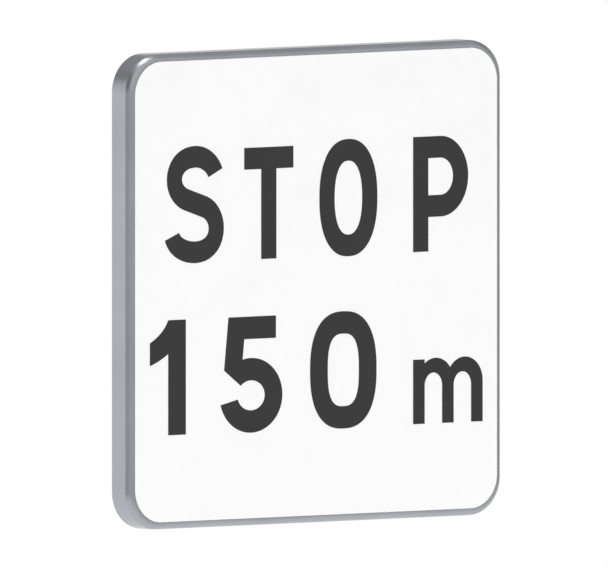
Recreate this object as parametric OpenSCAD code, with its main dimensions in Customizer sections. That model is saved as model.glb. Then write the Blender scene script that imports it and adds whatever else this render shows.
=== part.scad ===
// Square supplementary traffic sign for a post
//
// A shallow tray is pressed from one metal sheet, with a rounded front edge and an open back.
// White film covers its flat face, and the legend is cut from thin black film and laid on that.
// Two slotted rails lie across the back, and the post's clamps bolt into their slots.
//
// Millimetres. X runs to the right across the face, Z up, and the face looks along -Y.
// The origin is the centre of the plane in which the rails bear on the post.

/* [Panel] */
// Width of the sign over its side walls
panel_w = 500; // [400:10:900]
// Height of the sign over its top and bottom walls
panel_h = 500; // [450:10:900]
// Depth of the tray from its face to its rear rim
tray_depth = 29.5; // [22:0.5:45]
// Thickness of the sheet that the tray is pressed from
sheet_t = 1.5; // [1:0.1:3]
// Outside radius of the panel's four corners
corner_r = 40; // [25:1:80]
// Outside radius of the bend between the face and the walls
edge_r = 7.5; // [4:0.5:12]

/* [Films] */
// Bare metal left between the bend and the white film
film_gap = 0.3; // [0:0.1:10]
// How much rounder the film's corners are than the flat face under them
film_corner_extra = 2.8; // [0:0.1:10]
// Thickness of the white film
film_t = 0.4; // [0.2:0.05:1]
// Thickness of the black film
legend_t = 0.2; // [0.1:0.05:0.5]

/* [Legend] */
// Height of a capital and of a figure
cap_h = 121; // [90:1:150]
// Space between the two lines
line_gap = 60; // [20:1:80]
// How far the round letters pass the line at top and bottom
overshoot = 1.2; // [0:0.1:3]
// How much the bar of the T lies below the tops of the other capitals
t_drop = 3.4; // [0:0.1:10]
// Width of an upright stroke in the word
word_stem = 20.3; // [12:0.1:26]
// Width of a level stroke in the word
word_bar = 22.8; // [12:0.1:28]
// Width of an upright stroke in the figures
figure_stem = 23.6; // [14:0.1:28]
// Width of a level stroke in the figures
figure_bar = 23.5; // [14:0.1:28]
// Width of the strokes in the unit
unit_stem = 15.4; // [10:0.1:20]

/* [Rails] */
// Distance between the centre lines of the two rails
rail_spacing = 250; // [120:10:360]
// Width of a rail over its two walls
rail_w = 28; // [24:1:40]
// Thickness of a rail's walls, lips and feet
rail_t = 2; // [1.5:0.1:3]
// Width of the slot that takes the clamp bolts
slot_w = 12; // [8:0.5:16]
// Width of each foot beside the rail's wall
foot_w = 12; // [8:1:20]
// Outside radius of a rail's rear corners
rail_corner_r = 2.5; // [0.5:0.1:4]
// How far the rails stand out behind the tray's rear rim
rail_proud = 1.5; // [0.5:0.5:5]
// Room between a rail's end and the bend of the side wall
rail_end_gap = 4; // [1:0.5:60]

/* [Hidden] */

$fn = 96;
// Steps along one bend of a letter, and round a whole oval
bend_steps = 9;
oval_steps = 72;
// Share of the way to its corner at which a bend's handles lie
bend_pull = 0.59;
// Overlap that keeps a cut from ending on the face that it opens
cut_extra = 1;

// Distances in front of the plane in which the rails bear
rim_z = rail_proud;
face_z = rim_z + tray_depth;
floor_z = face_z - sheet_t;
film_z = face_z + film_t;

// Film and the flat face under it
flat_corner_r = corner_r - edge_r;
film_w = panel_w - 2 * (edge_r + film_gap);
film_h = panel_h - 2 * (edge_r + film_gap);
film_corner_r = flat_corner_r - film_gap + film_corner_extra;

// Rails
rail_len = panel_w - 2 * (edge_r + rail_end_gap);
channel_w = rail_w - 2 * rail_t;
channel_corner_r = max(rail_corner_r - rail_t, 0.5);

// Baselines of the two lines of the legend
word_base = line_gap / 2;
figure_base = -line_gap / 2 - cap_h;

// Centres of the characters along each line, as shares of the film's width
word_places = [-0.334, -0.131, 0.089, 0.344];
figure_places = [-0.410, -0.180, 0.075, 0.364];

// Widths of the characters
s_w = 0.631 * cap_h;
t_w = 0.544 * cap_h;
o_w = 0.641 * cap_h;
p_w = 0.609 * cap_h;
one_w = 0.398 * cap_h;
five_w = 0.692 * cap_h;
nought_w = 0.735 * cap_h;
m_w = 0.769 * cap_h;

// The S: where its sides lie, its slanting middle and its two ends
s_upper_side = 0.720 * cap_h;
s_lower_side = 0.286 * cap_h;
s_middle = 0.511 * cap_h;
s_slant = [0.097 * cap_h, 0.033 * cap_h];
s_upper_end = [0.222 * cap_h, 0.769 * cap_h];
s_upper_turn = 0.165 * cap_h;
s_lower_end = [-0.258 * cap_h, 0.228 * cap_h];
s_lower_turn = -0.217 * cap_h;

// Squareness of the ovals, where 2 is an ellipse
o_square = 2.3;
nought_square = 2.45;
nought_hole_square = 2.8;

// Height of the bowls of the P and the 5, and of a small letter
p_bowl_h = 0.700 * cap_h;
five_bowl_h = 0.650 * cap_h;
small_h = 0.559 * cap_h;

// The 5: ends and lean of its upper stroke, and the edges of the gap in its bowl
five_bar_left = -0.250 * cap_h;
five_bar_right = 0.275 * cap_h;
five_lean = 0.105;
five_gap_above = 37;
five_gap_below = 12.5;

// The 1: its flag beside the stem, with the heights measured down from the top
flag_top = 0.195 * cap_h;
flag_bottom = 0.393 * cap_h;
flag_root = 0.292 * cap_h;
flag_top_turn = [0.049 * cap_h, 0.113 * cap_h];
flag_root_turn = [0.082 * cap_h, 0.351 * cap_h];

// The m: arches between its stems
m_pitch = (m_w - unit_stem) / 2;
m_arch_w = 1.235 * m_pitch;
m_arch_rise = 0.210 * cap_h;
m_hole_rise = 0.114 * cap_h;

metal = [0.67, 0.68, 0.70];
white = [0.98, 0.98, 0.98];
black = [0.22, 0.22, 0.22];

// Curves

// Points of an oval with half widths a and b
function oval(a, b, n) = [
    for (i = [0:oval_steps - 1])
        let (c = cos(i * 360 / oval_steps), s = sin(i * 360 / oval_steps))
        [a * sign(c) * pow(abs(c), 2 / n), b * sign(s) * pow(abs(s), 2 / n)]
];

// A smooth bend from p to r that leaves p and reaches r along the lines to the corner q
function bend(p, q, r) = [
    for (i = [0:bend_steps])
        let (t = i / bend_steps, a = p + bend_pull * (q - p), b = r + bend_pull * (q - r))
        pow(1 - t, 3) * p + 3 * pow(1 - t, 2) * t * a + 3 * (1 - t) * t * t * b + pow(t, 3) * r
];

// A plain curve from p to r with one handle q
function sag(p, q, r) = [
    for (i = [0:bend_steps])
        let (t = i / bend_steps)
        pow(1 - t, 2) * p + 2 * (1 - t) * t * q + t * t * r
];

// A list without its first point
function rest_of(points) = [for (i = [1:len(points) - 1]) points[i]];

// Half the stroke's width at point i, as a vector across the line
function across(line, i, stem, bar) =
    let (
        ahead = line[min(i + 1, len(line) - 1)] - line[max(i - 1, 0)],
        side = [-ahead[1], ahead[0]] / norm(ahead)
    )
    side * norm([stem * side[0], bar * side[1]]) / 2;

// A stroke along a line, with its own widths where it runs upright and level
module stroke(line, stem, bar) {
    last = len(line) - 1;
    polygon(concat(
        [for (i = [0:last]) line[i] + across(line, i, stem, bar)],
        [for (i = [last:-1:0]) line[i] - across(line, i, stem, bar)]
    ));
}

// A box between two opposite corners
module span(low, high) {
    translate(low)
        square(high - low);
}

module rounded_box(w, h, r) {
    span([-w / 2 + r, -h / 2], [w / 2 - r, h / 2]);
    span([-w / 2, -h / 2 + r], [w / 2, h / 2 - r]);
    for (x = [-1, 1], y = [-1, 1])
        translate([x * (w / 2 - r), y * (h / 2 - r)])
            circle(r);
}

// Letters and figures, each on its baseline and about its own centre

module s_shape() {
    side = (s_w - word_stem) / 2;
    top = cap_h + overshoot - word_bar / 2;
    foot = word_bar / 2 - overshoot;
    slope = s_slant[1] / s_slant[0];
    slant_start = [-s_slant[0], s_middle + s_slant[1]];
    slant_end = [s_slant[0], s_middle - s_slant[1]];
    line = concat(
        bend(s_upper_end, [s_upper_turn, top], [0, top]),
        rest_of(bend([0, top], [-side, top], [-side, s_upper_side])),
        rest_of(bend([-side, s_upper_side], [-side, s_middle + side * slope], slant_start)),
        bend(slant_end, [side, s_middle - side * slope], [side, s_lower_side]),
        rest_of(bend([side, s_lower_side], [side, foot], [0, foot])),
        rest_of(bend([0, foot], [s_lower_turn, foot], s_lower_end))
    );
    stroke(line, word_stem, word_bar);
}

module t_shape() {
    top = cap_h - t_drop;
    span([-t_w / 2, top - word_bar], [t_w / 2, top]);
    span([-word_stem / 2, 0], [word_stem / 2, top - word_bar]);
}

// An oval letter, with the squareness of its outline and of its hole
module oval_shape(w, stem, bar, square_out, square_in) {
    a = w / 2;
    b = cap_h / 2 + overshoot;
    translate([0, cap_h / 2])
        difference() {
            polygon(oval(a, b, square_out));
            polygon(oval(a - stem, b - bar, square_in));
        }
}

module p_shape() {
    left = -p_w / 2;
    bowl_z = cap_h - p_bowl_h / 2;
    difference() {
        union() {
            span([left, cap_h - p_bowl_h], [0, cap_h]);
            translate([0, bowl_z])
                polygon(oval(p_w / 2, p_bowl_h / 2, 2));
        }
        translate([0, bowl_z])
            polygon(oval(p_w / 2 - word_stem, p_bowl_h / 2 - word_bar, 2));
        span([left + word_stem, cap_h - p_bowl_h + word_bar], [0, cap_h - word_bar]);
    }
    span([left, 0], [left + word_stem, cap_h - p_bowl_h]);
}

module one_shape() {
    right = one_w / 2;
    left = right - figure_stem;
    tip = -one_w / 2;
    span([left, 0], [right, cap_h]);
    polygon(concat(
        sag([left, cap_h], [left - flag_top_turn[0], cap_h - flag_top_turn[1]], [tip, cap_h - flag_top]),
        sag([tip, cap_h - flag_bottom], [left - flag_root_turn[0], cap_h - flag_root_turn[1]],
            [left, cap_h - flag_root])
    ));
}

module five_shape() {
    a = five_w / 2;
    b = five_bowl_h / 2;
    bowl_z = b - overshoot;
    reach = five_w;
    bar_foot = cap_h - figure_bar;
    stem_foot = bowl_z + b / 3;
    stem_shift = five_lean * (cap_h - stem_foot);
    difference() {
        union() {
            polygon([
                [five_bar_left - stem_shift, stem_foot],
                [five_bar_left + figure_stem - stem_shift, stem_foot],
                [five_bar_left + figure_stem - five_lean * figure_bar, bar_foot],
                [five_bar_right, bar_foot],
                [five_bar_right, cap_h],
                [five_bar_left, cap_h]
            ]);
            translate([0, bowl_z])
                polygon(oval(a, b, 2));
        }
        translate([0, bowl_z]) {
            polygon(oval(a - figure_stem, b - figure_bar, 2));
            polygon([
                [0, 0],
                [-reach * cos(five_gap_above), reach * sin(five_gap_above)],
                [-reach * cos(five_gap_below), -reach * sin(five_gap_below)]
            ]);
        }
    }
}

module m_shape() {
    left = -m_w / 2;
    hole_a = (m_pitch - unit_stem) / 2;
    spring_z = small_h + overshoot - unit_stem - m_hole_rise;
    arch_z = small_h + overshoot - m_arch_rise;
    span([left, 0], [left + unit_stem, small_h]);
    for (i = [1, 2])
        translate([left + i * m_pitch + unit_stem, 0])
            difference() {
                union() {
                    span([-unit_stem, 0], [0, arch_z]);
                    intersection() {
                        translate([-m_arch_w / 2, arch_z])
                            polygon(oval(m_arch_w / 2, m_arch_rise, 2));
                        span([-m_pitch - unit_stem / 2, spring_z], [0, cap_h]);
                    }
                    span([-m_pitch, spring_z], [-unit_stem, arch_z]);
                }
                translate([-unit_stem - hole_a, spring_z])
                    polygon(oval(hole_a, m_hole_rise, 2));
                span([-m_pitch, -cut_extra], [-unit_stem, spring_z]);
            }
}

// Pieces are drawn lying on their backs, and this stands them up to face -Y
module stood_up() {
    rotate([90, 0, 0])
        children();
}

// One character cut from black film
module character(share, base) {
    color(black)
        stood_up()
            translate([share * film_w, base, film_z])
                linear_extrude(legend_t)
                    children();
}

// Section of the tray's wall and bend, with the outside of the wall at x = reach
module wall_section(reach) {
    span([reach - sheet_t, rim_z], [reach, face_z - edge_r]);
    intersection() {
        translate([reach - edge_r, face_z - edge_r])
            difference() {
                circle(edge_r);
                circle(edge_r - sheet_t);
            }
        span([reach - edge_r, face_z - edge_r], [reach, face_z]);
    }
}

module side_wall(half, length) {
    translate([0, length / 2, 0])
        rotate([90, 0, 0])
            linear_extrude(length)
                wall_section(half);
}

module sign_tray() {
    color(metal)
        stood_up() {
            translate([0, 0, floor_z])
                linear_extrude(sheet_t)
                    rounded_box(panel_w - 2 * edge_r, panel_h - 2 * edge_r, flat_corner_r);
            for (turn = [0, 180])
                rotate([0, 0, turn]) {
                    side_wall(panel_w / 2, panel_h - 2 * corner_r);
                    rotate([0, 0, 90])
                        side_wall(panel_h / 2, panel_w - 2 * corner_r);
                }
            for (i = [0:3])
                translate([
                    (i == 0 || i == 3 ? 1 : -1) * (panel_w / 2 - corner_r),
                    (i < 2 ? 1 : -1) * (panel_h / 2 - corner_r),
                    0
                ])
                    rotate([0, 0, i * 90])
                        rotate_extrude(angle = 90)
                            wall_section(corner_r);
        }
}

module white_film() {
    color(white)
        stood_up()
            translate([0, 0, face_z])
                linear_extrude(film_t)
                    rounded_box(film_w, film_h, film_corner_r);
}

// Section of a rail, with its bearing face on z = 0 and its feet on the tray's inner face
module rail_section() {
    difference() {
        union() {
            span([-rail_w / 2, rail_corner_r], [rail_w / 2, floor_z]);
            span([-rail_w / 2 + rail_corner_r, 0], [rail_w / 2 - rail_corner_r, floor_z]);
            for (x = [-1, 1])
                translate([x * (rail_w / 2 - rail_corner_r), rail_corner_r])
                    circle(rail_corner_r);
            span([-rail_w / 2 - foot_w, floor_z - rail_t], [rail_w / 2 + foot_w, floor_z]);
        }
        translate([0, floor_z / 2])
            rounded_box(channel_w, floor_z - 2 * rail_t, channel_corner_r);
        span([-slot_w / 2, -cut_extra], [slot_w / 2, floor_z / 2]);
    }
}

module rail(height) {
    color(metal)
        stood_up()
            translate([-rail_len / 2, height, 0])
                rotate([90, 0, 90])
                    linear_extrude(rail_len)
                        rail_section();
}

module letter_s() character(word_places[0], word_base) s_shape();
module letter_t() character(word_places[1], word_base) t_shape();
module letter_o() character(word_places[2], word_base)
    oval_shape(o_w, word_stem, word_bar, o_square, o_square);
module letter_p() character(word_places[3], word_base) p_shape();
module digit_1() character(figure_places[0], figure_base) one_shape();
module digit_5() character(figure_places[1], figure_base) five_shape();
module digit_0() character(figure_places[2], figure_base)
    oval_shape(nought_w, figure_stem, figure_bar, nought_square, nought_hole_square);
module letter_m() character(figure_places[3], figure_base) m_shape();
module upper_rail() rail(rail_spacing / 2);
module lower_rail() rail(-rail_spacing / 2);

sign_tray();
white_film();
letter_s();
letter_t();
letter_o();
letter_p();
digit_1();
digit_5();
digit_0();
letter_m();
upper_rail();
lower_rail();
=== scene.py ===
# Square supplementary traffic sign: its looks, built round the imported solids.
# Metres. X runs right across the face, Y back to the post, Z up.
import math
import bmesh
import bpy
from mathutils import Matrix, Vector


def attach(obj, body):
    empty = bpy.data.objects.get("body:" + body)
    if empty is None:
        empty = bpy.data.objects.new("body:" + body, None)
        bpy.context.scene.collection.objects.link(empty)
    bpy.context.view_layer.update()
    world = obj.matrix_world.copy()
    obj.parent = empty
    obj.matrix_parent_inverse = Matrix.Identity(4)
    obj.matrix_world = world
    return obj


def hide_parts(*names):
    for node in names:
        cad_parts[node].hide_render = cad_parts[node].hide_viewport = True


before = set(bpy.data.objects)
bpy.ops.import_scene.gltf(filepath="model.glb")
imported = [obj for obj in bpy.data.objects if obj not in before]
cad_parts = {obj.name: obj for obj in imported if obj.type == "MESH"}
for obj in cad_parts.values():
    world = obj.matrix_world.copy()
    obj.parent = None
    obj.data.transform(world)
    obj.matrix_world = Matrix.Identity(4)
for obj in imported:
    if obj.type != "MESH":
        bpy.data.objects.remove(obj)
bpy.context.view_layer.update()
print("frame:", len(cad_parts), "solids loaded")

scene = bpy.context.scene
scene.view_settings.view_transform = "Standard"


def around(azimuth, elevation):  # unit vector towards a place round the sign, 0 is in front of it
    a, e = math.radians(azimuth), math.radians(elevation)
    return Vector((math.sin(a) * math.cos(e), -math.cos(a) * math.cos(e), math.sin(e)))


# Camera

photoView = {
    "azimuth": -38.33,       # to the left of the face
    "elevation": 3.29,
    "faceMiddle": (0, -0.031, 0),
    "besideFace": -0.0125,   # picture's centre, from the middle of the face
    "aboveFace": 0.0011,
    "acrossPicture": 0.6386,
    "distance": 2.5,
    "nearest": 0.05,
    "furthest": 60,
}


def placeCamera(view):
    lens = bpy.data.cameras.new("photoCamera")
    lens.type = "ORTHO"
    lens.ortho_scale = view["acrossPicture"]
    lens.clip_start = view["nearest"]
    lens.clip_end = view["furthest"]
    camera = bpy.data.objects.new("photoCamera", lens)
    scene.collection.objects.link(camera)
    back = around(view["azimuth"], view["elevation"])
    right = Vector((0, 0, 1)).cross(back).normalized()
    up = back.cross(right)
    aim = Vector(view["faceMiddle"]) + right * view["besideFace"] + up * view["aboveFace"]
    camera.location = aim + back * view["distance"]
    camera.rotation_mode = "QUATERNION"
    camera.rotation_quaternion = (-back).to_track_quat("-Z", "Y")
    scene.camera = camera


placeCamera(photoView)
print("camera: placed")


# Nodes for the materials and the room

mixSockets = {"RGBA": (6, 7, 2), "VECTOR": (4, 5, 1)}   # a Mix node's two inputs and its output


def place(nodes, kind, inputs=None, **settings):
    node = nodes.new(kind)
    for key, value in settings.items():
        setattr(node, key, value)
    for key, value in (inputs or {}).items():
        node.inputs[key].default_value = value
    return node


def feed(links, socket, value):  # a link from another node, or a plain value
    if isinstance(value, bpy.types.NodeSocket):
        links.new(value, socket)
    else:
        socket.default_value = value


def startMaterial(name):
    material = bpy.data.materials.new(name)
    material.use_nodes = True
    shader = next(n for n in material.node_tree.nodes if n.type == "BSDF_PRINCIPLED")
    return material, shader


def maths(nodes, links, operation, *values):
    node = place(nodes, "ShaderNodeMath", operation=operation)
    for socket, value in zip(node.inputs, values):
        feed(links, socket, value)
    return node.outputs[0]


def blend(nodes, links, kind, factor, first, second):
    node = place(nodes, "ShaderNodeMix", data_type=kind)
    firstInput, secondInput, result = mixSockets[kind]
    feed(links, node.inputs[0], factor)
    feed(links, node.inputs[firstInput], first)
    feed(links, node.inputs[secondInput], second)
    return node.outputs[result]


def addShare(nodes, links, first, second, share):
    return maths(nodes, links, "ADD", first, maths(nodes, links, "MULTIPLY", second, share))


def stretchedNoise(nodes, links, where, stretch, scale, detail, roughness):
    mapping = place(nodes, "ShaderNodeMapping", {"Scale": stretch})
    noise = place(nodes, "ShaderNodeTexNoise",
                  {"Scale": scale, "Detail": detail, "Roughness": roughness})
    links.new(where, mapping.inputs["Vector"])
    links.new(mapping.outputs["Vector"], noise.inputs["Vector"])
    return noise.outputs["Fac"]


def remap(nodes, links, value, before, after, **settings):  # before and after: low, high
    node = place(nodes, "ShaderNodeMapRange",
                 {"From Min": before[0], "From Max": before[1], "To Min": after[0], "To Max": after[1]},
                 **settings)
    links.new(value, node.inputs["Value"])
    return node.outputs["Result"]


def bumpFrom(nodes, links, height, depth, strength, shader):
    bump = place(nodes, "ShaderNodeBump", {"Distance": depth, "Strength": strength})
    links.new(height, bump.inputs["Height"])
    links.new(bump.outputs["Normal"], shader.inputs["Normal"])


# Metal of the tray, the rails and the welds

metalPattern = {
    "cloud": (9, 5, 0.55),       # scale, detail and roughness of each noise
    "streaks": (260, 4, 0.6),
    "grain": (1400, 3, 0.5),
    "streaksInShade": 0.45,
    "shadeRange": (0.50, 0.95),
    "cloudInRoughness": 0.6,
    "roughnessRange": (0.55, 1.05),
    "grainInBump": 0.5,
    "bumpDepth": 0.00004,
    "bumpStrength": 0.35,
    "turnMargin": 0.02,          # how much more up than sideways a face looks where the grain turns
}
trayMetal = {
    "name": "pressedMetal",
    "dark": (0.406, 0.424, 0.454, 1),
    "light": (0.470, 0.489, 0.520, 1),
    "cutEdge": (0.600, 0.612, 0.632, 1),   # the rim, where the sheet was cut
    "grainStretch": (1, 1, 0.03),     # brushed along Z, and along X where it follows the rim
    "followsRim": True,
    "roughness": (0.215, 0.300),
}
railMetal = {
    "name": "extrudedMetal",
    "dark": (0.440, 0.452, 0.472, 1),
    "light": (0.530, 0.540, 0.560, 1),
    "grainStretch": (0.02, 1, 1),     # die lines run along the rail
    "followsRim": False,
    "roughness": (0.230, 0.360),
}
weldMetal = {
    "name": "weldMetal",
    "dark": (0.330, 0.335, 0.345, 1),
    "light": (0.420, 0.425, 0.435, 1),
    "grainStretch": (1, 1, 1),
    "followsRim": False,
    "roughness": (0.30, 0.42),
}


def alongTheRim(nodes, links, spot, where, margin):  # swaps X and Z on the top and bottom walls
    facing = place(nodes, "ShaderNodeSeparateXYZ")
    links.new(spot.outputs["Normal"], facing.inputs["Vector"])
    sideways = maths(nodes, links, "ABSOLUTE", facing.outputs["X"])
    upOrDown = maths(nodes, links, "ABSOLUTE", facing.outputs["Z"])
    steeper = maths(nodes, links, "SUBTRACT", upOrDown, sideways)
    topOrBottom = maths(nodes, links, "GREATER_THAN", steeper, margin)
    split = place(nodes, "ShaderNodeSeparateXYZ")
    links.new(where, split.inputs["Vector"])
    turned = place(nodes, "ShaderNodeCombineXYZ")
    for axis, source in zip("XYZ", "ZYX"):
        links.new(split.outputs[source], turned.inputs[axis])
    return blend(nodes, links, "VECTOR", topOrBottom, where, turned.outputs["Vector"])


def makeMetal(finish, pattern):
    material, shader = startMaterial(finish["name"])
    nodes, links = material.node_tree.nodes, material.node_tree.links
    shader.inputs["Metallic"].default_value = 1
    spot = place(nodes, "ShaderNodeTexCoord")
    where = spot.outputs["Object"]
    if finish["followsRim"]:
        where = alongTheRim(nodes, links, spot, where, pattern["turnMargin"])
    cloud = stretchedNoise(nodes, links, where, (1, 1, 1), *pattern["cloud"])
    grain = stretchedNoise(nodes, links, where, finish["grainStretch"], *pattern["grain"])
    streaks = stretchedNoise(nodes, links, where, finish["grainStretch"], *pattern["streaks"])
    shade = addShare(nodes, links, cloud, streaks, pattern["streaksInShade"])
    factor = remap(nodes, links, shade, pattern["shadeRange"], (0, 1))
    colour = blend(nodes, links, "RGBA", factor, finish["dark"], finish["light"])
    if "cutEdge" in finish:
        edge = place(nodes, "ShaderNodeAttribute", attribute_name="cutEdge")
        colour = blend(nodes, links, "RGBA", edge.outputs["Fac"], colour, finish["cutEdge"])
    links.new(colour, shader.inputs["Base Color"])
    rough = addShare(nodes, links, streaks, cloud, pattern["cloudInRoughness"])
    rough = remap(nodes, links, rough, pattern["roughnessRange"], finish["roughness"])
    links.new(rough, shader.inputs["Roughness"])
    height = addShare(nodes, links, streaks, grain, pattern["grainInBump"])
    bumpFrom(nodes, links, height, pattern["bumpDepth"], pattern["bumpStrength"], shader)
    return material


# Films

filmPattern = {
    "cloud": (14, 4, 0.5),   # scale, detail and roughness of the noise
    "grainDetail": 2,
    "grainRoughness": 0.5,
    "grainInShade": 0.3,
    "shadeRange": (0.45, 0.85),
    "roughnessRange": (0.3, 0.7),
    "bumpDepth": 0.00003,
    "bumpStrength": 0.25,
}
whiteFilm = {
    "name": "whiteFilm",
    "shades": ((0.928, 0.929, 0.928, 1), (0.940, 0.941, 0.940, 1)),
    "roughness": (0.34, 0.42),
    "grainScale": 900,
    "gloss": 0.5,
}
blackFilm = {
    "name": "blackFilm",
    "shades": ((0.0255, 0.0256, 0.0258, 1), (0.0300, 0.0301, 0.0303, 1)),
    "roughness": (0.42, 0.52),
    "grainScale": 1100,
    "gloss": 0.3,
}


def makeFilm(finish, pattern):
    material, shader = startMaterial(finish["name"])
    nodes, links = material.node_tree.nodes, material.node_tree.links
    shader.inputs["Specular IOR Level"].default_value = finish["gloss"]
    where = place(nodes, "ShaderNodeTexCoord").outputs["Object"]
    cloud = stretchedNoise(nodes, links, where, (1, 1, 1), *pattern["cloud"])
    grain = stretchedNoise(nodes, links, where, (1, 1, 1), finish["grainScale"],
                           pattern["grainDetail"], pattern["grainRoughness"])
    shade = addShare(nodes, links, cloud, grain, pattern["grainInShade"])
    factor = remap(nodes, links, shade, pattern["shadeRange"], (0, 1))
    links.new(blend(nodes, links, "RGBA", factor, *finish["shades"]), shader.inputs["Base Color"])
    rough = remap(nodes, links, cloud, pattern["roughnessRange"], finish["roughness"])
    links.new(rough, shader.inputs["Roughness"])
    bumpFrom(nodes, links, grain, pattern["bumpDepth"], pattern["bumpStrength"], shader)
    return material


pressedFinish = makeMetal(trayMetal, metalPattern)
extrudedFinish = makeMetal(railMetal, metalPattern)
weldFinish = makeMetal(weldMetal, metalPattern)
whiteFinish = makeFilm(whiteFilm, filmPattern)
blackFinish = makeFilm(blackFilm, filmPattern)
print("materials: made")


# Shells that run round the sign, as rings of one rounded square after another

def roundedSquare(half, radius, steps):  # points and outward directions, anticlockwise from +X
    ring = []
    for quarter, (side, top) in enumerate(((1, 1), (-1, 1), (-1, -1), (1, -1))):
        middle = Vector((side, top)) * (half - radius)
        for i in range(steps + 1):
            turn = math.radians(90 * quarter + 90 * i / steps)
            out = Vector((math.cos(turn), math.sin(turn)))
            ring.append((middle + out * radius, out))
    return ring


# Each point of a profile: inset, y, the normal's parts outwards and along y, and 1 on the cut edge
def ringShell(name, half, cornerRadius, steps, profile):
    verts, normals, cuts, faces = [], [], [], []
    count = 4 * (steps + 1)
    for inset, y, outwards, along, cut in profile:
        for point, out in roundedSquare(half - inset, cornerRadius - inset, steps):
            verts.append((point.x, y, point.y))
            normals.append(Vector((out.x * outwards, along, out.y * outwards)).normalized())
            cuts.append(cut)
    for row in range(len(profile) - 1):
        for i in range(count):
            a, b = row * count + i, row * count + (i + 1) % count
            faces.append((a, a + count, b + count, b))
    faces.append(list(range(count)))
    last = (len(profile) - 1) * count
    faces.append([last + i for i in range(count)][::-1])
    mesh = bpy.data.meshes.new(name)
    mesh.from_pydata(verts, [], faces)
    mesh.validate()
    mesh.attributes.new("cutEdge", "FLOAT", "POINT").data.foreach_set("value", cuts)
    mesh.shade_smooth()
    mesh.normals_split_custom_set_from_vertices(normals)
    piece = bpy.data.objects.new(name, mesh)
    scene.collection.objects.link(piece)
    return piece


def arc(insetMiddle, yMiddle, radius, start, end, steps):  # 0 looks outwards, 90 to the front
    points = []
    for i in range(steps + 1):
        t = math.radians(start + (end - start) * i / steps)
        points.append((insetMiddle - radius * math.cos(t), yMiddle - radius * math.sin(t),
                       math.cos(t), -math.sin(t), 0))
    return points


def turnedIn(points):  # the same arc seen from its hollow side
    return [(inset, y, -out, -along, cut) for inset, y, out, along, cut in points]


# Tray

tray = {
    "half": 0.250,
    "cornerRadius": 0.040,
    "bendRadius": 0.0075,
    "sheet": 0.0015,
    "face": -0.0310,
    "rim": -0.0015,
    "rimRound": 0.0003,
    "rimSteps": 4,
    "bendSteps": 18,
    "cornerSteps": 36,
}


def makeTray(t):
    bend, sheet, lip = t["bendRadius"], t["sheet"], t["rimRound"]
    bendMiddle, rimMiddle = t["face"] + bend, t["rim"] - lip
    outside = arc(bend, bendMiddle, bend, 90, 0, t["bendSteps"])
    rim = arc(lip, rimMiddle, lip, 0, -90, t["rimSteps"])
    rim += arc(sheet - lip, rimMiddle, lip, -90, -180, t["rimSteps"])
    rim = [rim[0]] + [point[:4] + (1,) for point in rim[1:-1]] + [rim[-1]]   # bright where it was cut
    inside = turnedIn(arc(bend, bendMiddle, bend - sheet, 0, 90, t["bendSteps"]))
    profile = outside + rim + inside
    return ringShell("pressedTray", t["half"], t["cornerRadius"], t["cornerSteps"], profile)


trayPiece = makeTray(tray)
trayPiece.data.materials.append(pressedFinish)
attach(trayPiece, "root")
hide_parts("sign_tray")
print("tray:", len(trayPiece.data.polygons), "faces")


# White film

faceFilm = {
    "half": 0.2422,
    "cornerRadius": 0.0350,
    "back": -0.0310,
    "front": -0.0314,
    "edgeRound": 0.00015,
    "edgeSteps": 3,
    "cornerSteps": 36,
}


def makeFaceFilm(f):
    lip = f["edgeRound"]
    profile = arc(lip, f["front"] + lip, lip, 90, 0, f["edgeSteps"])
    profile += [(0, f["back"], 1, 0, 0), (lip, f["back"], 0, 1, 0)]
    return ringShell("faceFilm", f["half"], f["cornerRadius"], f["cornerSteps"], profile)


filmPiece = makeFaceFilm(faceFilm)
filmPiece.data.materials.append(whiteFinish)
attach(filmPiece, "root")
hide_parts("white_film")
print("film:", len(filmPiece.data.polygons), "faces")


# Legend: the CAD characters are right as they are, and get the black film's finish

legend = ("letter_s", "letter_t", "letter_o", "letter_p", "digit_1", "digit_5", "digit_0", "letter_m")
for name in legend:
    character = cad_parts[name]
    character.data.materials.clear()
    character.data.materials.append(blackFinish)
print("legend:", len(legend), "characters finished")


# Rails

rail = {
    "length": 0.477,
    "spacing": 0.250,
    "width": 0.028,
    "wall": 0.002,
    "footReach": 0.026,
    "depth": 0.0295,
    "slot": 0.012,
    "outerRound": 0.0025,
    "outerSteps": 8,
    "innerRound": 0.0005,
    "innerSteps": 3,
    "edgeRound": 0.00025,
    "edgeSegments": 2,
    "sharpAngle": 35,
    "flatWeight": 100,
}


def corner(middle, radius, start, end, steps):
    points = []
    for i in range(steps + 1):
        t = math.radians(start + (end - start) * i / steps)
        points.append((middle[0] + radius * math.cos(t), middle[1] + radius * math.sin(t)))
    return points


def railSection(r):  # z across the rail and y from its bearing plane, one half and its mirror image
    side, floor = r["width"] / 2, -r["depth"]
    wall, foot, lip = r["wall"], r["footReach"], r["slot"] / 2
    outer, inner, innerSteps = r["outerRound"], r["innerRound"], r["innerSteps"]
    half = [(lip, -wall), (lip, 0)]
    half += corner((side - outer, -outer), outer, 90, 0, r["outerSteps"])
    half += [(side, floor + wall), (foot, floor + wall), (foot, floor)]
    hollow = corner((side - wall - inner, floor + wall + inner), inner, -90, 0, innerSteps)
    hollow += corner((side - wall - inner, -wall - inner), inner, 0, 90, innerSteps)
    mirrored = [(-z, y) for z, y in half]
    mirroredHollow = [(-z, y) for z, y in hollow]
    return half + mirrored[::-1] + mirroredHollow[::-1] + hollow


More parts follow.
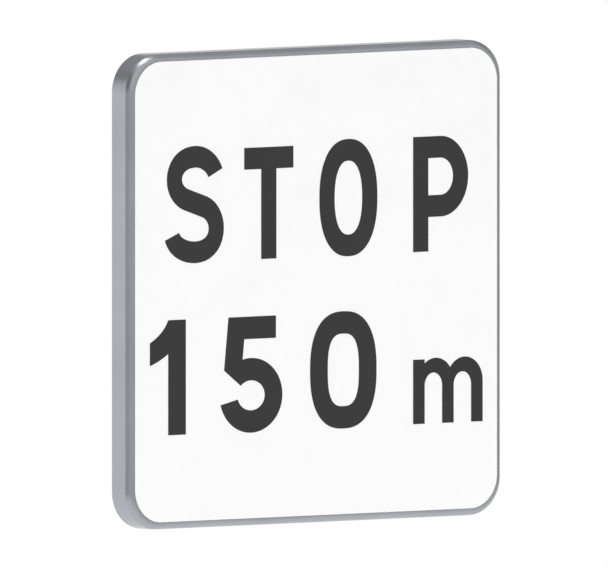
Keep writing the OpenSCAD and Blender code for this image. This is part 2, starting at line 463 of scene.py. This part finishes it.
def makeRail(name, height, r):
    section = railSection(r)
    mesh = bmesh.new()
    ends = []
    for x in (-r["length"] / 2, r["length"] / 2):
        ends.append([mesh.verts.new((x, y, height + z)) for z, y in section])
    count = len(section)
    for i in range(count):
        j = (i + 1) % count
        mesh.faces.new((ends[0][i], ends[0][j], ends[1][j], ends[1][i]))
    mesh.faces.new(ends[0][::-1])
    mesh.faces.new(ends[1])
    bmesh.ops.recalc_face_normals(mesh, faces=mesh.faces)
    data = bpy.data.meshes.new(name)
    mesh.to_mesh(data)
    mesh.free()
    data.shade_smooth()
    piece = bpy.data.objects.new(name, data)
    scene.collection.objects.link(piece)
    edges = piece.modifiers.new("softEdges", "BEVEL")
    edges.width = r["edgeRound"]
    edges.segments = r["edgeSegments"]
    edges.limit_method = "ANGLE"
    edges.angle_limit = math.radians(r["sharpAngle"])
    flats = piece.modifiers.new("flatFaces", "WEIGHTED_NORMAL")
    flats.weight = r["flatWeight"]
    piece.data.materials.append(extrudedFinish)
    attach(piece, "root")
    return piece


upperPiece = makeRail("upperRail", rail["spacing"] / 2, rail)
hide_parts("upper_rail")
lowerPiece = makeRail("lowerRail", -rail["spacing"] / 2, rail)
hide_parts("lower_rail")
print("rails: 2 made")


# Spot welds that hold the rails' feet to the tray

welds = {
    "perFoot": 9,
    "pitch": 0.053,
    "fromRailMiddle": 0.020,
    "footBack": -0.0275,
    "tip": 0.00006,          # height above the foot
    "rings": ((0.0020, 0.00006), (0.0026, 0.00020), (0.0031, 0.00024),
              (0.0036, 0.00012), (0.0041, -0.00003)),   # radius, height
    "sides": 28,
}


def weldRing(mesh, x, z, radius, y, sides):
    ring = []
    for k in range(sides):
        turn = 2 * math.pi * k / sides
        ring.append(mesh.verts.new((x + radius * math.cos(turn), y, z + radius * math.sin(turn))))
    return ring


def addWeld(mesh, x, z, w):
    tip = mesh.verts.new((x, w["footBack"] + w["tip"], z))
    before = None
    for radius, rise in w["rings"]:
        ring = weldRing(mesh, x, z, radius, w["footBack"] + rise, w["sides"])
        for k in range(w["sides"]):
            n = (k + 1) % w["sides"]
            if before is None:
                mesh.faces.new((tip, ring[n], ring[k])).smooth = True
            else:
                mesh.faces.new((before[k], before[n], ring[n], ring[k])).smooth = True
        before = ring
    mesh.faces.new(before)   # closes it inside the foot


def makeWelds(name, height, w):
    mesh = bmesh.new()
    for side in (-1, 1):
        for i in range(w["perFoot"]):
            x = (i - (w["perFoot"] - 1) / 2) * w["pitch"]
            addWeld(mesh, x, height + side * w["fromRailMiddle"], w)
    data = bpy.data.meshes.new(name)
    mesh.to_mesh(data)
    mesh.free()
    piece = bpy.data.objects.new(name, data)
    scene.collection.objects.link(piece)
    data.materials.append(weldFinish)
    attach(piece, "root")


makeWelds("upperWelds", rail["spacing"] / 2, welds)
makeWelds("lowerWelds", -rail["spacing"] / 2, welds)
print("welds:", 4 * welds["perFoot"], "made")


# Floor, backdrop and light

studio = {
    "floorHeight": -1.5,
    "floorReach": 14,
    "floorSides": 96,
    "floorShade": (0.93, 0.93, 0.93, 1),
    "floorRoughness": 0.9,
    "white": (1, 1, 1, 1),
    "backdropLight": 1,      # seen by the camera and through glass
    "roomLight": 0.46,       # what matt surfaces get from all round
    "suns": (                # azimuth, elevation, strength, width in degrees, seen in the metal
        ("keyLamp", -28, 44, 0.88, 40, False),
        ("fillLamp", 50, 26, 0.45, 60, False),
        ("backLamp", 160, 48, 0.70, 50, False),
        ("overheadFront", 15, 65, 0.28, 24, True),
        ("overheadMiddle", 15, 79, 0.30, 24, True),
        ("overheadBack", 15, 93, 0.28, 24, True),
    ),
    # What the metal mirrors on each side of the room: height of the direction, grey level
    "front": ((-1.0, 1.0), (-0.30, 0.80), (-0.06, 0.60), (0.20, 0.80), (0.75, 0.76), (1.0, 0.65)),
    "right": ((-1.0, 1.0), (-0.30, 0.90), (-0.06, 0.54), (0.45, 0.38), (0.75, 0.48), (1.0, 0.65)),
    "back": ((-1.0, 1.0), (-0.06, 1.0), (0.20, 0.80), (0.44, 0.33), (0.75, 0.48), (1.0, 0.65)),
    "left": ((-1.0, 1.0), (-0.40, 0.95), (-0.06, 0.56), (0.20, 0.31), (0.65, 0.30), (1.0, 0.65)),
    "turnToSide": (0.35, 0.90),   # share of x * x over which the front or back turns into a side
}


def makeFloor(s):
    mesh = bmesh.new()
    bmesh.ops.create_circle(mesh, cap_ends=True, segments=s["floorSides"], radius=s["floorReach"])
    bmesh.ops.translate(mesh, verts=mesh.verts, vec=(0, 0, s["floorHeight"]))
    data = bpy.data.meshes.new("studioFloor")
    mesh.to_mesh(data)
    mesh.free()
    floor = bpy.data.objects.new("studioFloor", data)
    scene.collection.objects.link(floor)
    material, shader = startMaterial("paleFloor")
    shader.inputs["Base Color"].default_value = s["floorShade"]
    shader.inputs["Roughness"].default_value = s["floorRoughness"]
    shader.inputs["Specular IOR Level"].default_value = 0
    data.materials.append(material)
    floor.visible_glossy = False


def makeLamps(s):
    for name, azimuth, elevation, strength, width, mirrored in s["suns"]:
        sun = bpy.data.lights.new(name, "SUN")
        sun.energy = strength
        sun.angle = math.radians(width)
        lamp = bpy.data.objects.new(name, sun)
        lamp.rotation_mode = "QUATERNION"
        lamp.rotation_quaternion = (-around(azimuth, elevation)).to_track_quat("-Z", "Y")
        lamp.visible_glossy = mirrored
        scene.collection.objects.link(lamp)


def levels(nodes, links, height, stops):  # grey levels from the floor (-1) up to the ceiling (1)
    ramp = place(nodes, "ShaderNodeValToRGB")
    ramp.color_ramp.interpolation = "EASE"
    while len(ramp.color_ramp.elements) < len(stops):
        ramp.color_ramp.elements.new(0.5)
    for element, (position, level) in zip(ramp.color_ramp.elements, stops):
        element.position = (position + 1) / 2
        element.color = (level, level, level, 1)
    links.new(remap(nodes, links, height, (-1, 1), (0, 1)), ramp.inputs["Fac"])
    return ramp.outputs["Color"]


def mirroredRoom(nodes, links, s):  # four walls that run into each other
    split = place(nodes, "ShaderNodeSeparateXYZ")
    where = place(nodes, "ShaderNodeTexCoord").outputs["Generated"]
    links.new(where, split.inputs["Vector"])
    x, y, z = (split.outputs[axis] for axis in "XYZ")
    walls = {wall: levels(nodes, links, z, s[wall]) for wall in ("front", "right", "back", "left")}
    behind = maths(nodes, links, "GREATER_THAN", y, 0)
    onTheRight = maths(nodes, links, "GREATER_THAN", x, 0)
    ahead = blend(nodes, links, "RGBA", behind, walls["front"], walls["back"])
    beside = blend(nodes, links, "RGBA", onTheRight, walls["left"], walls["right"])
    acrossSquared = maths(nodes, links, "MULTIPLY", x, x)
    alongSquared = maths(nodes, links, "MULTIPLY", y, y)
    levelSquared = maths(nodes, links, "ADD", acrossSquared, alongSquared)
    share = maths(nodes, links, "DIVIDE", acrossSquared, levelSquared)
    turned = remap(nodes, links, share, s["turnToSide"], (0, 1), interpolation_type="SMOOTHSTEP")
    return blend(nodes, links, "RGBA", turned, ahead, beside)


def backgroundOf(nodes, links, colour, strength):
    node = place(nodes, "ShaderNodeBackground", {"Strength": strength})
    feed(links, node.inputs["Color"], colour)
    return node.outputs["Background"]


def mixShaders(nodes, links, factor, first, second):
    node = place(nodes, "ShaderNodeMixShader")
    for socket, value in zip(node.inputs, (factor, first, second)):
        links.new(value, socket)
    return node.outputs["Shader"]


def makeWorld(s):
    world = bpy.data.worlds.new("studioRoom")
    scene.world = world
    world.use_nodes = True
    nodes, links = world.node_tree.nodes, world.node_tree.links
    nodes.clear()
    out = place(nodes, "ShaderNodeOutputWorld")
    path = place(nodes, "ShaderNodeLightPath").outputs
    seen = backgroundOf(nodes, links, s["white"], s["backdropLight"])
    mirrored = backgroundOf(nodes, links, mirroredRoom(nodes, links, s), 1)
    matt = backgroundOf(nodes, links, s["white"], s["roomLight"])
    byGloss = mixShaders(nodes, links, path["Is Glossy Ray"], matt, mirrored)
    direct = maths(nodes, links, "MAXIMUM", path["Is Camera Ray"], path["Is Transmission Ray"])
    bySight = mixShaders(nodes, links, direct, byGloss, seen)
    links.new(bySight, out.inputs["Surface"])


makeFloor(studio)
makeLamps(studio)
makeWorld(studio)
print("studio: floor, lamps and room made")
